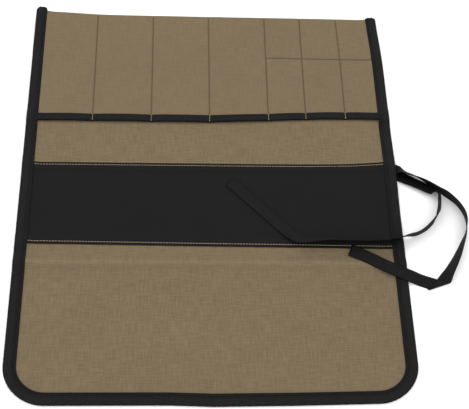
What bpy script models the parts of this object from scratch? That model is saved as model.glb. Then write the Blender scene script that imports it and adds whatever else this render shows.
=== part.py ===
"""A canvas tool roll, lying open and flat with its pockets up. Metres, +Z up.

One long cloth is folded over at the far edge and stitched down into a row of seven pockets, whose
mouths face the near flap. A tape binds the pocket mouths, a wide black band lies across the middle
of the cloth, a folded tape binds the two sides and the flap, and two flat ties leave the right side.
+X points to the side with the ties, +Y to the folded edge, and the roll rests on z = 0.
"""

import math

import bpy
import numpy as np

MM = 0.001

# Cloth and tape
ROLL_WIDTH = 380 * MM
ROLL_LENGTH = 449.5 * MM
CANVAS = 1.0 * MM
TAPE = 1.0 * MM
PLY_GAP = 0.3 * MM
CORNER_RADIUS = 39 * MM

# Edge binding: a tape folded in half, with two leaves as wide as this
BINDING_LEAF = 12 * MM
LEFT_TAIL = 5 * MM
RIGHT_TAIL = 1.2 * MM
TAIL_RISE = 3 * MM
BEND_RADIUS = 1.0 * MM

# Pocket row, measured from the folded edge
POCKET_DEPTH = 143.2 * MM
STOP_SEAM_DEPTH = 57 * MM
MOUTH_RISE = 6.3 * MM
MOUTH_TAPE_LEAF = 8.2 * MM
POCKET_GAPE = 4.0 * MM
FOLD_PUFF = 0.8 * MM
GAPE_FLANK = 0.6

# Black band across the middle, measured from the folded edge
BAND_START = 193.3 * MM
BAND_LENGTH = 94.7 * MM
BAND_TOP_RISE = 3.4 * MM
BAND_BOTTOM_SLANT = 2 * MM

# How the cloth lies: a crease across the flap, and the far left corner off the floor
CREASE_DISTANCE = 305.5 * MM
CREASE_HEIGHT = 2.5 * MM
CREASE_REACH = 9 * MM
CORNER_LIFT = 4.5 * MM
CORNER_LIFT_WIDTH = 100 * MM
CORNER_LIFT_LENGTH = 75 * MM

# How far its edges run out of square: the sides come in towards the fold, and the hem wanders
LEFT_DRAWN_IN = 0.6 * MM
RIGHT_DRAWN_IN = 2.4 * MM
DRAWN_IN_LENGTH = 90 * MM
HEM_DRIFT_LENGTH = 70 * MM
HEM_DRIFT = (
    {"across": -1.0, "inward": 2.0 * MM},
    {"across": -0.8, "inward": 1.5 * MM},
    {"across": -0.2, "inward": 1.4 * MM},
    {"across": 0.0, "inward": 0.0 * MM},
    {"across": 0.4, "inward": 0.8 * MM},
    {"across": 0.75, "inward": 2.2 * MM},
    {"across": 1.0, "inward": 3.4 * MM},
)

# Ties, sewn side by side under the right side's binding
TIE_WIDTH = 12.7 * MM
TIE_DISTANCE = 201 * MM
TIE_ROOT_REACH = 40 * MM
TIE_CLEARANCE = 0.05 * MM

FABRIC_ROUGHNESS = 0.9
CANVAS_COLOUR = (0.23, 0.175, 0.108, 1.0)
BAND_COLOUR = (0.018, 0.018, 0.019, 1.0)
BINDING_COLOUR = (0.022, 0.022, 0.023, 1.0)
TIE_COLOUR = (0.014, 0.014, 0.015, 1.0)

# Pockets from left to right: share of the row's width, and whether the seam across closes it early
POCKETS = (
    {"share": 0.157, "stopped": False},
    {"share": 0.171, "stopped": False},
    {"share": 0.171, "stopped": False},
    {"share": 0.174, "stopped": False},
    {"share": 0.111, "stopped": True},
    {"share": 0.118, "stopped": True},
    {"share": 0.098, "stopped": True},
)

# Routes of the ties in mm from the point where they leave the side: x outward, y to the fold, the
# lean of the tape from flat in degrees, and the height in mm of what the tape lies on there
LONG_TIE_IN = (
    (-13, 7.6, 0, 1.3),
    (-5, 4.9, 0, 1.3),
    (4, 0.9, 0, 1.3),
    (7.5, -1.2, -20, 0.6),
    (11, -3, -42, 0),
    (16, -4.9, -56, 0),
    (24, -9.2, -62, 0),
    (32, -15.2, -73, 0),
    (40, -21.9, -80, 0),
    (48.5, -28, -85, 0),
    (57, -36.5, -80, 0),
    (62, -44.5, -80, 0),
    (64.7, -52.5, -81, 0),
    (65.2, -60, -80, 0),
    (63.8, -67.5, -78, 0),
    (60, -77.6, -95, 0),
    (54.4, -90, -108, 0),
    (48.6, -101.5, -120, 0),
    (41, -114, -135, 0.6),
    (35.5, -122, -158, 1.3),
    (31.3, -127.8, -180, 1.3),
)
LONG_TIE_OUT = (
    (31.3, -127.8, 0, 0),
    (19.5, -124.5, 0, 0),
    (10, -121.2, 0, 0),
    (0, -117.8, 0, 0),
    (-11.5, -113, 0, 0),
    (-22.5, -107, 0, 0),
    (-33.5, -100.8, 0, 0),
    (-44.5, -95.2, 0, 0),
    (-54.1, -90.6, 0, 0),
)
SHORT_TIE = (
    (-13, 3.9, 0, 0),
    (-5, 0.1, 0, 0),
    (4, -4.2, 0, 0),
    (9, -7.6, -9, 0),
    (16, -11.6, -15, 0),
    (24, -15.9, -18, 0),
    (30, -19.4, -34, 0),
    (34.6, -22.9, -64, 0),
    (37.9, -27.8, -82, 0),
    (39.6, -34, -88, 0),
    (39.4, -42, -92, 0),
    (37.2, -50.5, -96, 0),
    (32.5, -58.3, -86, 0),
    (25.8, -65.6, -88, 0),
    (18.8, -71, -94, 0),
    (11.5, -74.6, -100, 0),
    (3, -77.3, -108, 0),
    (-6, -80, -114, 0),
    (-17, -81.6, -117, 0),
    (-35.5, -82.6, -118, 0),
    (-55, -82.4, -119, 0),
    (-75, -81, -125, 0),
    (-90, -81.2, -136, 0),
    (-101, -79.8, -152, 0),
    (-110.5, -74.6, -168, 0),
    (-122, -63.2, -180, 0),
    (-140, -44.6, -180, 0),
    (-156, -28.2, -180, 0),
    (-170.6, -13.2, -180, 0),
)

PLY = CANVAS + PLY_GAP
TAPE_PLY = TAPE + PLY_GAP
HALF_WIDTH = ROLL_WIDTH / 2
HEM_Y = -(ROLL_LENGTH + LEFT_TAIL) / 2
FOLD_Y = HEM_Y + ROLL_LENGTH
CLOTH_INSET = TAPE / 2 + BEND_RADIUS + PLY_GAP
MOUTH_LEAF_END = MOUTH_TAPE_LEAF + TAPE
STOP_Y = FOLD_Y - STOP_SEAM_DEPTH
CREASE_Y = FOLD_Y - CREASE_DISTANCE
TIE_Y = FOLD_Y - TIE_DISTANCE
FOLD_STEPS = 6


def smooth_step(low, high, value):
    """0 below low, 1 above high, and a smooth S between them."""
    t = np.clip((value - low) / (high - low), 0.0, 1.0)
    return t * t * (3 - 2 * t)


def bump(reach, distance):
    """1 at distance 0, falling to 0 at the reach with no corner at either end."""
    return 0.5 + 0.5 * np.cos(math.pi * np.clip(np.abs(distance) / reach, 0.0, 1.0))


def edge_distance(x, y):
    """How far inside the roll's bound outline a place lies. The flap's two corners are round."""
    side = HALF_WIDTH - np.abs(x)
    hem = y - HEM_Y
    past_x = CORNER_RADIUS - side
    past_y = CORNER_RADIUS - hem
    in_corner = (past_x > 0) & (past_y > 0)
    return np.where(in_corner, CORNER_RADIUS - np.hypot(past_x, past_y), np.minimum(side, hem))


def out_of_square(x, y):
    """Where a place of the square pattern really lies, seen from above."""
    across = x / HALF_WIDTH
    drawn_in = np.where(x < 0, LEFT_DRAWN_IN, -RIGHT_DRAWN_IN)
    near_fold = smooth_step(FOLD_Y - DRAWN_IN_LENGTH, FOLD_Y, y) ** 2
    hem = np.interp(across, [place["across"] for place in HEM_DRIFT], [place["inward"] for place in HEM_DRIFT])
    near_hem = 1 - smooth_step(HEM_Y, HEM_Y + HEM_DRIFT_LENGTH, y)
    return x + drawn_in * near_fold * smooth_step(0.5, 1.0, np.abs(across)), y + hem * near_hem


def lie(x, y):
    """Height over the floor of the roll's lowest layer, by the way that it lies."""
    from_left = 1 - smooth_step(0, CORNER_LIFT_WIDTH, x + HALF_WIDTH)
    from_fold = 1 - smooth_step(0, CORNER_LIFT_LENGTH, FOLD_Y - y)
    corner = CORNER_LIFT * from_left**1.5 * from_fold
    crease = CREASE_HEIGHT * bump(CREASE_REACH, y - CREASE_Y)
    past_ties = np.maximum(np.abs(y - TIE_Y) - TIE_WIDTH - PLY_GAP, 0)
    inside = HALF_WIDTH - BINDING_LEAF - x
    roots = 2 * TAPE_PLY * bump(TIE_ROOT_REACH, past_ties) * bump(TIE_ROOT_REACH, np.maximum(inside, 0))
    return corner + crease + roots


def back_height(x, y):
    """Middle of the back cloth. It steps up at the bound edges, over the binding's lower leaf."""
    step_end = BINDING_LEAF + PLY_GAP
    step = TAPE_PLY * (1 - smooth_step(step_end, 2 * step_end, edge_distance(x, y)))
    return lie(x, y) + step + CANVAS / 2


def mouth_y(x):
    """Outer edge of the tape on the pocket mouths, which runs a little uphill on the right."""
    return FOLD_Y - POCKET_DEPTH + MOUTH_RISE * smooth_step(-0.1 * HALF_WIDTH, 0.8 * HALF_WIDTH, x)


def seam_places():
    """x of the seams between the pockets, with the two sides as the first and the last."""
    row = ROLL_WIDTH - 2 * BINDING_LEAF
    shares = np.cumsum([0.0] + [pocket["share"] for pocket in POCKETS])
    return -row / 2 + row * shares / shares[-1]


def over_tape_leaf(x, y):
    """Rise of the pocket cloth near its mouth, over the leaf of tape that is inside the pocket."""
    return TAPE_PLY * (1 - smooth_step(MOUTH_LEAF_END, 2.2 * MOUTH_LEAF_END, y - mouth_y(x)))


def pocket_gap(x, y):
    """Space between the back cloth and the pocket cloth: closed at the seams, open at the mouths."""
    seams = seam_places()
    gap = PLY_GAP + over_tape_leaf(x, y) + np.zeros(np.broadcast(x, y).shape)
    for pocket, left, right in zip(POCKETS, seams[:-1], seams[1:]):
        across = np.clip(np.abs(2 * (x - left) / (right - left) - 1), 0.0, 1.0)
        arch = smooth_step(0.0, GAPE_FLANK, 1 - across)
        floor_y = STOP_Y if pocket["stopped"] else FOLD_Y
        depth = (floor_y - y) / (floor_y - mouth_y(x))
        open_part = POCKET_GAPE * smooth_step(0.0, 0.6, depth)
        closed_part = FOLD_PUFF * smooth_step(0.0, 0.1, np.abs(depth))
        gap = gap + arch * (open_part + closed_part)
    return gap


def pocket_height(x, y):
    """Middle of the pocket cloth."""
    return back_height(x, y) + CANVAS + pocket_gap(x, y)


def slope_share(x, y):
    """Height of a layer of cloth of height 1 where the pocket cloth slopes from side to side."""
    step = 0.5 * MM
    here = pocket_height(x, y)
    rises = [np.abs(pocket_height(x + side * step, y) - here) / step for side in (-1, 1)]
    return np.sqrt(1 + (sum(rises) / 2) ** 2)


def band_height(x, y):
    """Middle of the black band, which lies on the back cloth."""
    return back_height(x, y) + CANVAS / 2 + PLY_GAP + TAPE / 2


def band_top_y(x):
    return FOLD_Y - BAND_START + BAND_TOP_RISE * np.clip(x / HALF_WIDTH, 0, 1) ** 3


def band_bottom_y(x):
    return FOLD_Y - BAND_START - BAND_LENGTH - BAND_BOTTOM_SLANT * x / HALF_WIDTH


def binding_slot(x, y):
    """Height of the space between the binding's two leaves, which grows with the layers in it."""
    blend = 6 * MM
    from_mouth = y - mouth_y(x)
    in_pocket = smooth_step(-blend - PLY_GAP, -PLY_GAP, from_mouth)
    in_tape = in_pocket * (1 - smooth_step(MOUTH_LEAF_END, MOUTH_LEAF_END + blend, from_mouth))
    past_band = np.maximum(band_bottom_y(x) - y, y - band_top_y(x))
    in_band = 1 - smooth_step(PLY_GAP, blend, past_band)
    layers = in_pocket * (PLY + over_tape_leaf(x, y)) + (in_tape + in_band) * TAPE_PLY
    return 2 * PLY_GAP + CANVAS + layers


def resting_height(x, y):
    """Top of whatever part of the near half of the roll is at a place, or the floor beside it."""
    inside = edge_distance(x, y)
    top = back_height(x, y) + CANVAS / 2
    in_band = (y < band_top_y(x) + PLY_GAP) & (y > band_bottom_y(x) - PLY_GAP)
    top = np.where(in_band, band_height(x, y) + TAPE / 2, top)
    binding = lie(x, y) + 2 * TAPE + binding_slot(x, y)
    top = np.where(inside < BINDING_LEAF + PLY_GAP, binding, top)
    return np.where(inside > -PLY_GAP, top + 1.5 * PLY_GAP, 0.0)


def columns():
    """x of the cloth's columns: at the bound sides, at each seam, and between the seams."""
    seams = seam_places()
    inner = [left + (right - left) * share
             for left, right in zip(seams[:-1], seams[1:])
             for share in (0.0, 0.09, 0.26, 0.5, 0.74, 0.91)]
    side = HALF_WIDTH - CLOTH_INSET
    edge = (side + HALF_WIDTH - BINDING_LEAF) / 2
    return np.array([-side, -edge, *inner, seams[-1], edge, side])


def back_rows():
    """y of the back cloth's rows, from the hem to the pockets' end, closer together where it bends."""
    radius = CORNER_RADIUS - CLOTH_INSET
    corner = [HEM_Y + CLOTH_INSET + radius * (1 - math.cos(math.radians(angle)))
              for angle in (0, 20, 36, 47, 57, 67, 78, 90)]
    flap = [(corner[-1] + CREASE_Y - CREASE_REACH) / 2]
    crease = [CREASE_Y + CREASE_REACH * share for share in (-1, -0.6, -0.25, 0, 0.25, 0.6, 1)]
    band_bottom = FOLD_Y - BAND_START - BAND_LENGTH
    middle = [band_bottom + share * (TIE_Y - band_bottom) for share in (0.3, 0.55, 0.7, 0.82, 1)]
    tie_end = TIE_Y + TIE_WIDTH + PLY_GAP
    above = [tie_end, tie_end + TIE_ROOT_REACH / 2, tie_end + TIE_ROOT_REACH]
    lifted = [FOLD_Y - CORNER_LIFT_LENGTH * share for share in (1.3, 1, 0.8, 0.6, 0.4, 0.2, 0.05)]
    return corner + flap + crease + middle + above + lifted


def squeezed(x, y):
    """Columns drawn in where the flap's corners are round, so that the outer ones follow the edge."""
    radius = CORNER_RADIUS - CLOTH_INSET
    side = HALF_WIDTH - CLOTH_INSET
    below = max(HEM_Y + CLOTH_INSET + radius - y, 0.0)
    width = side - radius + math.sqrt(max(radius**2 - below**2, 0.0))
    inner = side - 1.25 * radius
    outer = inner + (np.abs(x) - inner) * (width - inner) / (side - inner)
    return np.sign(x) * np.where(np.abs(x) > inner, outer, np.abs(x))


def canvas_grid():
    """The cloth from the hem along the back, round the fold and down the pockets to their mouths."""
    x = columns()
    rows = []
    for y in back_rows():
        drawn = squeezed(x, y)
        flat_y = np.full_like(drawn, y)
        rows.append((drawn, flat_y, back_height(drawn, flat_y)))
    near_fold = np.full_like(x, FOLD_Y - CANVAS)
    radius = (CANVAS + pocket_gap(x, near_fold)) / 2
    turn_y = FOLD_Y - CANVAS / 2 - radius
    for step in range(FOLD_STEPS + 1):
        angle = math.pi * step / FOLD_STEPS
        z = back_height(x, near_fold) + radius * (1 - math.cos(angle))
        rows.append((x, turn_y + radius * math.sin(angle), z))
    end_y = mouth_y(x) + CLOTH_INSET
    for share in (0.1, 0.3, 0.55, 0.8, 0.93, 1.0):
        y = FOLD_Y - STOP_SEAM_DEPTH * share + np.zeros_like(x)
        rows.append((x, y, pocket_height(x, y)))
    tape_y = mouth_y(x) + 2.2 * MOUTH_LEAF_END
    for share in (0.08, 0.28, 0.52, 0.77, 1.0):
        y = STOP_Y + (tape_y - STOP_Y) * share
        rows.append((x, y, pocket_height(x, y)))
    leaf_y = mouth_y(x) + MOUTH_LEAF_END
    for share in (0.34, 0.67, 1.0):
        y = tape_y + (leaf_y - tape_y) * share
        rows.append((x, y, pocket_height(x, y)))
    rows.append((x, end_y, pocket_height(x, end_y)))
    return np.array([np.stack(row, axis=-1) for row in rows])


def band_grid():
    """The black band's sheet, whose sides run in under the binding."""
    x = columns()
    rows = []
    for share in (0.0, 0.12, 0.35, 0.55, 0.7, 0.82, 0.92, 1.0):
        y = band_bottom_y(x) + share * (band_top_y(x) - band_bottom_y(x))
        rows.append(np.stack((x, y, band_height(x, y)), axis=-1))
    return np.array(rows)


def folded_profile(leaf, half_height):
    """A tape folded over an edge, as distances in from its bend and heights: leaf, bend and leaf."""
    bend = min(BEND_RADIUS, half_height)
    corner = [math.radians(angle) for angle in (0, 45, 90)]
    upper_bend = [(bend - bend * math.sin(a), half_height - bend + bend * math.cos(a)) for a in corner]
    leaf_part = [((1 - share) * leaf + share * bend, half_height) for share in (0.0, 0.5)]
    upper = leaf_part + upper_bend
    return np.array(upper + [(distance, -height) for distance, height in reversed(upper)])


def mouth_tape_grid():
    """The tape folded over the pockets' mouths: its two leaves follow the pocket cloth's waves."""
    half_height = (CANVAS + 2 * PLY_GAP + TAPE) / 2
    profile = folded_profile(MOUTH_TAPE_LEAF - TAPE / 2, half_height)
    rows = []
    for x in columns():
        y = mouth_y(x) + TAPE / 2 + profile[:, 0]
        at = np.full_like(y, x), np.maximum(y, mouth_y(x) + CLOTH_INSET)
        z = pocket_height(*at) + profile[:, 1] * slope_share(*at)
        rows.append(np.stack((np.full_like(y, x), y, z), axis=-1))
    return np.array(rows)


def binding_stations():
    """Places along the binding's outer edge, left side first, each with its inward direction.

    A row holds x, y, the inward x and y, and how much the tape is drawn in at its rounded ends.
    """
    tail = [(0.0, 0.0), (0.45, 0.03), (0.8, 0.12), (1.0, 0.12)]
    side_rows = [y for y in back_rows() if y > HEM_Y + CORNER_RADIUS]
    mouth_rows = [FOLD_Y - POCKET_DEPTH + place * MOUTH_TAPE_LEAF
                  for place in (-0.8, -0.55, -0.3, 0.0, 0.5, 1.1, 1.35, 1.6, 1.9, 2.3)]
    band_rows = [FOLD_Y - BAND_START - BAND_LENGTH + place * BEND_RADIUS for place in (-9, -6, -3, 3)]
    band_rows += [FOLD_Y - BAND_START + place * BEND_RADIUS for place in (-1, 3, 6, 9)]
    left = [(-HALF_WIDTH, FOLD_Y + LEFT_TAIL * along, 1.0, 0.0, drawn)
            for along, drawn in reversed(tail)]
    rows = sorted(side_rows + mouth_rows + band_rows, reverse=True)
    left += [(-HALF_WIDTH, y, 1.0, 0.0, 0.0) for y in rows]
    centre_x = HALF_WIDTH - CORNER_RADIUS
    centre_y = HEM_Y + CORNER_RADIUS
    for angle in range(0, 91, 10):
        c, s = math.cos(math.radians(angle)), math.sin(math.radians(angle))
        left.append((-centre_x - CORNER_RADIUS * c, centre_y - CORNER_RADIUS * s, c, s, 0.0))
    left += [(x, HEM_Y, 0.0, 1.0, 0.0) for x in (-0.5 * centre_x, 0.0)]
    raised = [MOUTH_RISE if y in mouth_rows else 0.0 for y in rows]
    right = [(-x, y, -inward_x, inward_y, drawn) for x, y, inward_x, inward_y, drawn in left[:-1]]
    first = len(tail)
    right[:first] = [(HALF_WIDTH, FOLD_Y + RIGHT_TAIL * along, -1.0, 0.0, drawn)
                     for along, drawn in reversed(tail)]
    for index, rise in enumerate(raised):
        x, y, inward_x, inward_y, drawn = right[first + index]
        right[first + index] = (x, y + rise, inward_x, inward_y, drawn)
    side = slice(first, first + len(rows))
    right[side] = sorted(right[side], key=lambda station: -station[1])
    return left + right[::-1]


def binding_grid():
    """The folded tape carried round the two sides and the flap, with its slot over the cloth's edge."""
    rows = []
    for x, y, inward_x, inward_y, drawn in binding_stations():
        half_height = (binding_slot(x, y) + TAPE) / 2
        profile = folded_profile(BINDING_LEAF - TAPE / 2, half_height)
        drawn_in = drawn * BINDING_LEAF
        distance = TAPE / 2 + drawn_in + profile[:, 0] * (BINDING_LEAF - 2 * drawn_in) / BINDING_LEAF
        px = x + inward_x * distance
        py = y + inward_y * distance
        z = lie(px, py) + TAPE / 2 + half_height + profile[:, 1] + drawn * TAIL_RISE
        rows.append(np.stack((px, py, z), axis=-1))
    return np.array(rows)


def spline(points, step):
    """Rows read at even steps: places from a smooth curve through the given ones, the rest between."""
    points = np.array(points, float)
    before = 2 * points[0] - points[1]
    after = 2 * points[-1] - points[-2]
    padded = np.vstack((before, points, after))
    fine = []
    for a, b, c, d in zip(padded[:-3], padded[1:-2], padded[2:-1], padded[3:]):
        t = np.linspace(0, 1, 24, endpoint=False)[:, None]
        fine.append(0.5 * (2 * b + (c - a) * t + (2 * a - 5 * b + 4 * c - d) * t**2
                           + (3 * b - a - 3 * c + d) * t**3))
    fine = np.vstack(fine + [points[-1:]])
    along = np.concatenate(([0], np.cumsum(np.hypot(*np.diff(fine[:, :2], axis=0).T))))
    at_rows = along[::24]
    even = np.linspace(0, along[-1], max(int(round(along[-1] / step)), 2) + 1)
    place = [np.interp(even, along, column) for column in fine.T[:2]]
    turn = [np.interp(even, at_rows, column) for column in points.T[2:]]
    return np.stack(place + turn, axis=-1), even


def laid(needed, along, reach):
    """Height of a tape over what it has to clear: it slopes to each step and rounds the corners."""
    distance = np.abs(along[:, None] - along[None, :])
    bridged = np.max(needed[None, :] - 0.4 * distance, axis=1)
    near = distance <= reach
    widened = np.max(np.where(near, bridged[None, :], -np.inf), axis=1)
    return np.sum(np.where(near, widened[None, :], 0), axis=1) / near.sum(axis=1)


def tie_sections(route, skew_start, skew_end, on_roll_after):
    """Centres and rulings of a flat tie. A ruling is the vector across it, from its right edge.

    The skews are the slopes of the rulings at the two ends, for a diagonal fold there.
    """
    stations, along = spline(route, 3.0)
    x = HALF_WIDTH + stations[:, 0] * MM
    y = TIE_Y + stations[:, 1] * MM
    lean = np.radians(stations[:, 2])
    along = along * MM
    heading = np.stack((np.gradient(x), np.gradient(y)), axis=-1)
    heading /= np.linalg.norm(heading, axis=1)[:, None]
    ramp = TIE_WIDTH
    skew = skew_start * np.clip(1 - along / ramp, 0, 1)
    skew += skew_end * np.clip(1 - (along[-1] - along) / ramp, 0, 1)
    left = np.stack((-heading[:, 1], heading[:, 0]), axis=-1)
    flat = np.cos(lean)[:, None] * left + skew[:, None] * heading
    ruling = TIE_WIDTH * np.column_stack((flat, np.sin(lean)))
    on_roll = along > on_roll_after * along[-1]
    needed = np.full(len(x), -np.inf)
    for share in np.linspace(-0.5, 0.5, 9):
        px = x + share * ruling[:, 0]
        py = y + share * ruling[:, 1]
        under = np.where(on_roll, resting_height(px, py), stations[:, 3] * MM) + TIE_CLEARANCE
        needed = np.maximum(needed, under - share * ruling[:, 2])
    half_rise = np.abs(ruling[:, 2]) / 2
    z = laid(needed - half_rise, along, 4 * MM) + half_rise + TAPE / 2 * np.abs(np.cos(lean))
    return np.stack((x, y, z), axis=-1), ruling, heading


def tie_grid(centres, rulings):
    return np.stack([centres + share * rulings for share in (-0.5, 0.5)], axis=1)


def fold_slope(heading_in, heading_out):
    """Slope of the rulings at a diagonal fold that turns a tape from one heading to the other."""
    turn = math.acos(float(np.dot(heading_in, heading_out)))
    return 1 / math.tan(turn / 2)


def long_tie_grid():
    """The long tie: it runs up to a flat diagonal fold and comes back under itself from there."""
    start = np.array(LONG_TIE_IN[-1][:2]) - np.array(LONG_TIE_IN[-2][:2])
    end = np.array(LONG_TIE_OUT[1][:2]) - np.array(LONG_TIE_OUT[0][:2])
    heading_in = start / np.linalg.norm(start)
    heading_out = end / np.linalg.norm(end)
    slope = fold_slope(heading_in, heading_out)
    centres_in, rulings_in, headings_in = tie_sections(LONG_TIE_IN, 0, slope, 2)
    centres_out, rulings_out, _ = tie_sections(LONG_TIE_OUT, slope, 0, 0.25)
    axis = heading_in + heading_out
    axis /= np.linalg.norm(axis)
    along_axis = float(np.dot(headings_in[-1], axis))
    across = headings_in[-1] - along_axis * axis
    across_share = np.linalg.norm(across)
    across /= across_share
    radius = (TAPE + PLY_GAP) / 2
    centres, rulings = [], []
    ruling = np.append(axis, 0.0) * TIE_WIDTH / across_share
    for step in range(FOLD_STEPS + 1):
        angle = math.pi * step / FOLD_STEPS
        flat = radius * math.sin(angle) * across + along_axis * radius * angle / across_share * axis
        drop = radius * (1 - math.cos(angle))
        centres.append(centres_in[-1] + np.append(flat, -drop))
        rulings.append(ruling)
    shift = centres[-1] - centres_out[0]
    fade = np.clip(1 - np.arange(len(centres_out)) / 4, 0, 1)[:, None]
    centres_out = centres_out + shift * fade
    centres_all = np.vstack((centres_in[:-1], centres, centres_out[1:]))
    rulings_all = np.vstack((rulings_in[:-1], rulings, rulings_out[1:]))
    return tie_grid(centres_all, rulings_all)


def short_tie_grid():
    """The short tie: it stands on edge in a bow, comes in over the side and lies down on the band."""
    centres, rulings, _ = tie_sections(SHORT_TIE, 0, 0, 0.38)
    return tie_grid(centres, rulings)


def fabric(name, colour):
    material = bpy.data.materials.new(name)
    material.use_nodes = True
    surface = material.node_tree.nodes["Principled BSDF"]
    surface.inputs["Base Color"].default_value = colour
    surface.inputs["Roughness"].default_value = FABRIC_ROUGHNESS
    surface.inputs["Metallic"].default_value = 0.0
    material.diffuse_color = colour
    return material


def cloth_object(name, grid, thickness, material, collection):
    """A cloth: the open surface through a grid of points, thickened to both sides."""
    grid = np.stack((*out_of_square(grid[..., 0], grid[..., 1]), grid[..., 2]), axis=-1)
    rows, count = grid.shape[:2]
    index = np.arange(rows * count).reshape(rows, count)
    corners = (index[:-1, :-1], index[:-1, 1:], index[1:, 1:], index[1:, :-1])
    faces = np.stack([corner.ravel() for corner in corners], axis=-1)
    mesh = bpy.data.meshes.new(name)
    mesh.from_pydata(grid.reshape(-1, 3).tolist(), [], faces.tolist())
    mesh.materials.append(material)
    mesh.shade_smooth()
    cloth = bpy.data.objects.new(name, mesh)
    collection.objects.link(cloth)
    solidify = cloth.modifiers.new("thickness", "SOLIDIFY")
    solidify.thickness = thickness
    solidify.offset = 0.0
    solidify.use_even_offset = True
    return cloth


def clear_scene():
    for old in list(bpy.data.objects):
        bpy.data.objects.remove(old, do_unlink=True)


def build():
    clear_scene()
    roll = bpy.data.collections.new("tool_roll")
    bpy.context.scene.collection.children.link(roll)
    canvas = fabric("natural_canvas", CANVAS_COLOUR)
    band = fabric("black_band_cloth", BAND_COLOUR)
    binding = fabric("black_twill_binding", BINDING_COLOUR)
    tie = fabric("black_twill_tie", TIE_COLOUR)
    cloth_object("canvas_body", canvas_grid(), CANVAS, canvas, roll)
    cloth_object("black_band", band_grid(), TAPE, band, roll)
    cloth_object("pocket_mouth_tape", mouth_tape_grid(), TAPE, binding, roll)
    cloth_object("edge_binding", binding_grid(), TAPE, binding, roll)
    cloth_object("tie_long", long_tie_grid(), TAPE, tie, roll)
    cloth_object("tie_short", short_tie_grid(), TAPE, tie, roll)


build()
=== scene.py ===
import math

import bpy
import numpy as np
from mathutils import Matrix, Vector


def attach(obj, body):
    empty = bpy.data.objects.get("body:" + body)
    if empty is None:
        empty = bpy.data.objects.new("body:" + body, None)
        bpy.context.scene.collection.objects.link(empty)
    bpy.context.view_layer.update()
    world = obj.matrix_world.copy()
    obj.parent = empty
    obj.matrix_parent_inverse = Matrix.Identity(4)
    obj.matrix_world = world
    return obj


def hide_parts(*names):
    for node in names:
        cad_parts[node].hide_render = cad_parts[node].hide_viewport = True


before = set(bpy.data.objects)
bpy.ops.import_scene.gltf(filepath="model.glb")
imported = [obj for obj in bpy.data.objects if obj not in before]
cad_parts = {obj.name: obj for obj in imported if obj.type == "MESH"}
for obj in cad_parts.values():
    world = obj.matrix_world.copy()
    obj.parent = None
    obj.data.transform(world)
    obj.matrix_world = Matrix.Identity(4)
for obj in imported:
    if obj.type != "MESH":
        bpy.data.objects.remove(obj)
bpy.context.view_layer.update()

print("frame loaded")

mm = 0.001


# curves that shape everything: an S curve, a hump and a bell
def smoothStep(low, high, value):
    # 0 up to low, 1 from high on, 3t^2 - 2t^3 in between
    t = np.clip((value - low) / (high - low), 0.0, 1.0)
    return t * t * (3 - 2 * t)


def hump(reach, distance):
    # a raised cosine: 1 at distance 0, 0 from the reach on
    return 0.5 + 0.5 * np.cos(math.pi * np.clip(np.abs(distance) / reach, 0.0, 1.0))


def bell(width, distance):
    # e to the power -(distance / width)^2: 1 at distance 0, nearly 0 from two widths on
    return np.exp(-(distance / width) ** 2)


# camera, at the angle the photograph was taken from
camera = {
    "position": (-37.723 * mm, -519.154 * mm, 875.165 * mm),
    "elevation": 60.0,   # degrees above the table
    "azimuth": 6.968,    # degrees that it looks towards +X from +Y
    "roll": 6.548,
    "lens": 77.57,       # mm on a 36 mm sensor
}


def placeCamera(facts):
    # forward from elevation and azimuth, then right and up turned about it by the roll
    e, a, k = (math.radians(facts[name]) for name in ("elevation", "azimuth", "roll"))
    forward = Vector((math.sin(a) * math.cos(e), math.cos(a) * math.cos(e), -math.sin(e)))
    right = Vector((math.cos(a), -math.sin(a), 0.0))
    up = right.cross(forward)
    turnedRight = right * math.cos(k) + up * math.sin(k)
    turnedUp = up * math.cos(k) - right * math.sin(k)
    data = bpy.data.cameras.new("photoCamera")
    data.lens = facts["lens"]
    data.sensor_width = 36.0
    data.clip_start, data.clip_end = 0.01, 20.0
    shot = bpy.data.objects.new("photoCamera", data)
    bpy.context.scene.collection.objects.link(shot)
    turn = Matrix((turnedRight, turnedUp, -forward)).transposed()
    shot.matrix_world = Matrix.Translation(Vector(facts["position"])) @ turn.to_4x4()
    bpy.context.scene.camera = shot


placeCamera(camera)
print("camera placed")

# the roll's own sizes, the same as its solids have
roll = {
    "width": 380 * mm,
    "length": 449.5 * mm,
    "cornerRadius": 39 * mm,
    "bindingLeaf": 12 * mm,
    "leftTail": 5 * mm,        # how far the binding's two ends stand past the folded edge
    "rightTail": 1.2 * mm,
    "tailRise": 3 * mm,
    "canvas": 0.9 * mm,        # thickness of the canvas
    "tape": 0.7 * mm,          # thickness of the twill tape
    "gap": 0.08 * mm,          # air between two layers
    "pocketDepth": 143.2 * mm,
    "stopSeamDepth": 57 * mm,
    "mouthRise": 6.3 * mm,
    "mouthLeaf": 8.2 * mm,
    "bandStart": 193.3 * mm,
    "bandLength": 94.7 * mm,
    "bandTopRise": 3.4 * mm,
    "bandBottomSlant": 2 * mm,
    "bandHem": 7.5 * mm,       # how far the band's long edges are turned under
    "bandHemStep": 3.5 * mm,   # length over which the band steps down from them
    "pocketShares": (0.157, 0.171, 0.171, 0.174, 0.111, 0.118, 0.098),
    "widePockets": 4,          # the others are closed early by the seam across them
}
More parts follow.
